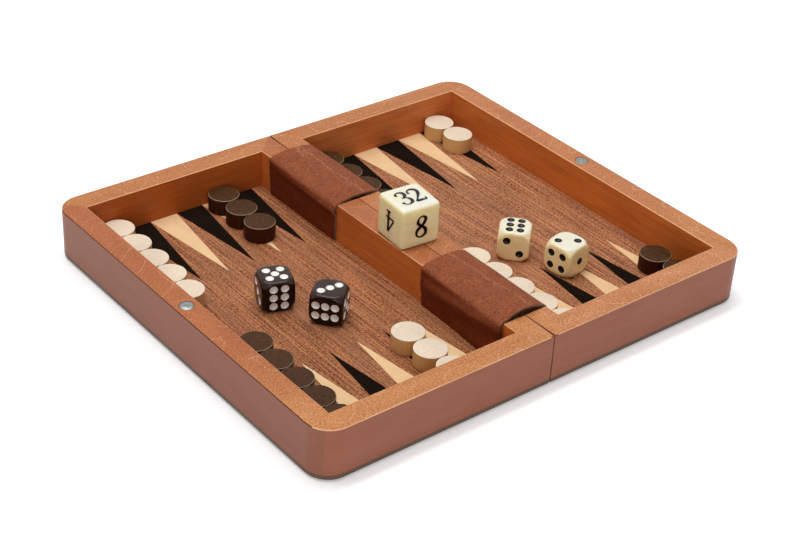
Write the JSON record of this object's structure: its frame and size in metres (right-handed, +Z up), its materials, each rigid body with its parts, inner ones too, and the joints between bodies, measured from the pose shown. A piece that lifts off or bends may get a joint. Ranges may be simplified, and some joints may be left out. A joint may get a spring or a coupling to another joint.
{
  "type": "travel chess and backgammon set",
  "caption": "Folding wooden box of trays on leather strap hinges, with inlaid points, checkers, dice and a doubling cube inside and a chessboard on the outside.",
  "frame": {"origin": "bottom centre of the open box, under the fold", "axes": "+X across the two halves towards the right tray, +Y along the fold towards the back, +Z up out of the open trays"},
  "size_m": [0.25, 0.218, 0.0478],
  "materials": {
    "rail_wood": "stained hardwood rails, satin lacquer",
    "base_wood": "dark stained base panel, satin lacquer",
    "floor_veneer": "walnut veneer, satin lacquer",
    "light_inlay": "cream dyed veneer, satin lacquer",
    "dark_inlay": "black dyed veneer, satin lacquer",
    "dark_square": "dark veneer, satin lacquer",
    "strap_leather": "vegetable tanned leather, raw cut edges",
    "magnet_steel": "nickel plated disc magnet",
    "light_checker": "turned boxwood, satin lacquer",
    "dark_checker": "turned and stained hardwood, satin lacquer",
    "brown_resin": "polished cast resin with white pips",
    "ivory_resin": "polished pearl resin with black marks"
  },
  "bodies": {
    "left_tray": {"left_back_rail": "rail_wood", "left_front_rail": "rail_wood", "left_outer_rail": "rail_wood", "left_hinge_rail": "rail_wood", "left_floor": "floor_veneer", "left_light_points": "light_inlay", "left_dark_points": "dark_inlay", "left_base": "base_wood", "left_light_squares": "light_inlay", "left_dark_squares": "dark_square", "left_magnet": "magnet_steel", "back_strap": "strap_leather", "front_strap": "strap_leather"},
    "right_tray": {"right_back_rail": "rail_wood", "right_front_rail": "rail_wood", "right_outer_rail": "rail_wood", "right_hinge_rail": "rail_wood", "right_floor": "floor_veneer", "right_light_points": "light_inlay", "right_dark_points": "dark_inlay", "right_base": "base_wood", "right_light_squares": "light_inlay", "right_dark_squares": "dark_square", "right_magnet": "magnet_steel"},
    "light_checker_01": {"light_checker_01": "light_checker"},
    "light_checker_02": {"light_checker_02": "light_checker"},
    "light_checker_03": {"light_checker_03": "light_checker"},
    "light_checker_04": {"light_checker_04": "light_checker"},
    "light_checker_05": {"light_checker_05": "light_checker"},
    "light_checker_06": {"light_checker_06": "light_checker"},
    "light_checker_07": {"light_checker_07": "light_checker"},
    "light_checker_08": {"light_checker_08": "light_checker"},
    "light_checker_09": {"light_checker_09": "light_checker"},
    "light_checker_10": {"light_checker_10": "light_checker"},
    "light_checker_11": {"light_checker_11": "light_checker"},
    "light_checker_12": {"light_checker_12": "light_checker"},
    "light_checker_13": {"light_checker_13": "light_checker"},
    "light_checker_14": {"light_checker_14": "light_checker"},
    "light_checker_15": {"light_checker_15": "light_checker"},
    "dark_checker_01": {"dark_checker_01": "dark_checker"},
    "dark_checker_02": {"dark_checker_02": "dark_checker"},
    "dark_checker_03": {"dark_checker_03": "dark_checker"},
    "dark_checker_04": {"dark_checker_04": "dark_checker"},
    "dark_checker_05": {"dark_checker_05": "dark_checker"},
    "dark_checker_06": {"dark_checker_06": "dark_checker"},
    "dark_checker_07": {"dark_checker_07": "dark_checker"},
    "dark_checker_08": {"dark_checker_08": "dark_checker"},
    "dark_checker_09": {"dark_checker_09": "dark_checker"},
    "dark_checker_10": {"dark_checker_10": "dark_checker"},
    "dark_checker_11": {"dark_checker_11": "dark_checker"},
    "dark_checker_12": {"dark_checker_12": "dark_checker"},
    "dark_checker_13": {"dark_checker_13": "dark_checker"},
    "dark_checker_14": {"dark_checker_14": "dark_checker"},
    "dark_checker_15": {"dark_checker_15": "dark_checker"},
    "brown_die_1": {"brown_die_1": "brown_resin"},
    "brown_die_2": {"brown_die_2": "brown_resin"},
    "ivory_die_1": {"ivory_die_1": "ivory_resin"},
    "ivory_die_2": {"ivory_die_2": "ivory_resin"},
    "doubling_cube": {"doubling_cube": "ivory_resin"}
  },
  "joints": [
    {"name": "board_fold", "type": "hinge", "parent": "left_tray", "child": "right_tray", "pos_m": [0, 0, 0.02665], "axis": [0, -1, 0], "range_deg": [0, 179.8], "deforming": ["back_strap", "front_strap"]},
    {"name": "light_checker_01_lift", "type": "slide", "parent": "left_tray", "child": "light_checker_01", "axis": [0, 0, -1], "range_m": [-0.03, 0]},
    {"name": "light_checker_02_lift", "type": "slide", "parent": "left_tray", "child": "light_checker_02", "axis": [0, 0, -1], "range_m": [-0.03, 0]},
    {"name": "light_checker_03_lift", "type": "slide", "parent": "left_tray", "child": "light_checker_03", "axis": [0, 0, -1], "range_m": [-0.03, 0]},
    {"name": "light_checker_04_lift", "type": "slide", "parent": "left_tray", "child": "light_checker_04", "axis": [0, 0, -1], "range_m": [-0.03, 0]},
    {"name": "light_checker_05_lift", "type": "slide", "parent": "left_tray", "child": "light_checker_05", "axis": [0, 0, -1], "range_m": [-0.03, 0]},
    {"name": "light_checker_06_lift", "type": "slide", "parent": "left_tray", "child": "light_checker_06", "axis": [0, 0, -1], "range_m": [-0.03, 0]},
    {"name": "light_checker_07_lift", "type": "slide", "parent": "left_tray", "child": "light_checker_07", "axis": [0, 0, -1], "range_m": [-0.03, 0]},
    {"name": "light_checker_08_lift", "type": "slide", "parent": "left_tray", "child": "light_checker_08", "axis": [0, 0, -1], "range_m": [-0.03, 0]},
    {"name": "light_checker_09_lift", "type": "slide", "parent": "right_tray", "child": "light_checker_09", "axis": [0, 0, -1], "range_m": [-0.03, 0]},
    {"name": "light_checker_10_lift", "type": "slide", "parent": "right_tray", "child": "light_checker_10", "axis": [0, 0, -1], "range_m": [-0.03, 0]},
    {"name": "light_checker_11_lift", "type": "slide", "parent": "right_tray", "child": "light_checker_11", "axis": [0, 0, -1], "range_m": [-0.03, 0]},
    {"name": "light_checker_12_lift", "type": "slide", "parent": "right_tray", "child": "light_checker_12", "axis": [0, 0, -1], "range_m": [-0.03, 0]},
    {"name": "light_checker_13_lift", "type": "slide", "parent": "right_tray", "child": "light_checker_13", "axis": [0, 0, -1], "range_m": [-0.03, 0]},
    {"name": "light_checker_14_lift", "type": "slide", "parent": "right_tray", "child": "light_checker_14", "axis": [0, 0, -1], "range_m": [-0.03, 0]},
    {"name": "light_checker_15_lift", "type": "slide", "parent": "right_tray", "child": "light_checker_15", "axis": [0, 0, -1], "range_m": [-0.03, 0]},
    {"name": "dark_checker_01_lift", "type": "slide", "parent": "left_tray", "child": "dark_checker_01", "axis": [0, 0, -1], "range_m": [-0.03, 0]},
    {"name": "dark_checker_02_lift", "type": "slide", "parent": "left_tray", "child": "dark_checker_02", "axis": [0, 0, -1], "range_m": [-0.03, 0]},
    {"name": "dark_checker_03_lift", "type": "slide", "parent": "left_tray", "child": "dark_checker_03", "axis": [0, 0, -1], "range_m": [-0.03, 0]},
    {"name": "dark_checker_04_lift", "type": "slide", "parent": "left_tray", "child": "dark_checker_04", "axis": [0, 0, -1], "range_m": [-0.03, 0]},
    {"name": "dark_checker_05_lift", "type": "slide", "parent": "left_tray", "child": "dark_checker_05", "axis": [0, 0, -1], "range_m": [-0.03, 0]},
    {"name": "dark_checker_06_lift", "type": "slide", "parent": "left_tray", "child": "dark_checker_06", "axis": [0, 0, -1], "range_m": [-0.03, 0]},
    {"name": "dark_checker_07_lift", "type": "slide", "parent": "left_tray", "child": "dark_checker_07", "axis": [0, 0, -1], "range_m": [-0.03, 0]},
    {"name": "dark_checker_08_lift", "type": "slide", "parent": "left_tray", "child": "dark_checker_08", "axis": [0, 0, -1], "range_m": [-0.03, 0]},
    {"name": "dark_checker_09_lift", "type": "slide", "parent": "right_tray", "child": "dark_checker_09", "axis": [0, 0, -1], "range_m": [-0.03, 0]},
    {"name": "dark_checker_10_lift", "type": "slide", "parent": "right_tray", "child": "dark_checker_10", "axis": [0, 0, -1], "range_m": [-0.03, 0]},
    {"name": "dark_checker_11_lift", "type": "slide", "parent": "right_tray", "child": "dark_checker_11", "axis": [0, 0, -1], "range_m": [-0.03, 0]},
    {"name": "dark_checker_12_lift", "type": "slide", "parent": "right_tray", "child": "dark_checker_12", "axis": [0, 0, -1], "range_m": [-0.03, 0]},
    {"name": "dark_checker_13_lift", "type": "slide", "parent": "right_tray", "child": "dark_checker_13", "axis": [0, 0, -1], "range_m": [-0.03, 0]},
    {"name": "dark_checker_14_lift", "type": "slide", "parent": "right_tray", "child": "dark_checker_14", "axis": [0, 0, -1], "range_m": [-0.03, 0]},
    {"name": "dark_checker_15_lift", "type": "slide", "parent": "right_tray", "child": "dark_checker_15", "axis": [0, 0, -1], "range_m": [-0.03, 0]},
    {"name": "brown_die_1_lift", "type": "slide", "parent": "left_tray", "child": "brown_die_1", "axis": [0, 0, -1], "range_m": [-0.03, 0]},
    {"name": "brown_die_2_lift", "type": "slide", "parent": "left_tray", "child": "brown_die_2", "axis": [0, 0, -1], "range_m": [-0.03, 0]},
    {"name": "ivory_die_1_lift", "type": "slide", "parent": "right_tray", "child": "ivory_die_1", "axis": [0, 0, -1], "range_m": [-0.03, 0]},
    {"name": "ivory_die_2_lift", "type": "slide", "parent": "right_tray", "child": "ivory_die_2", "axis": [0, 0, -1], "range_m": [-0.03, 0]},
    {"name": "doubling_cube_lift", "type": "slide", "parent": "left_tray", "child": "doubling_cube", "axis": [0, 0, 1], "range_m": [0, 0.314]}
  ],
  "couplings": [
    {"joint": "doubling_cube_lift", "follows": "board_fold", "m_per_rad": 0.1}
  ]
}
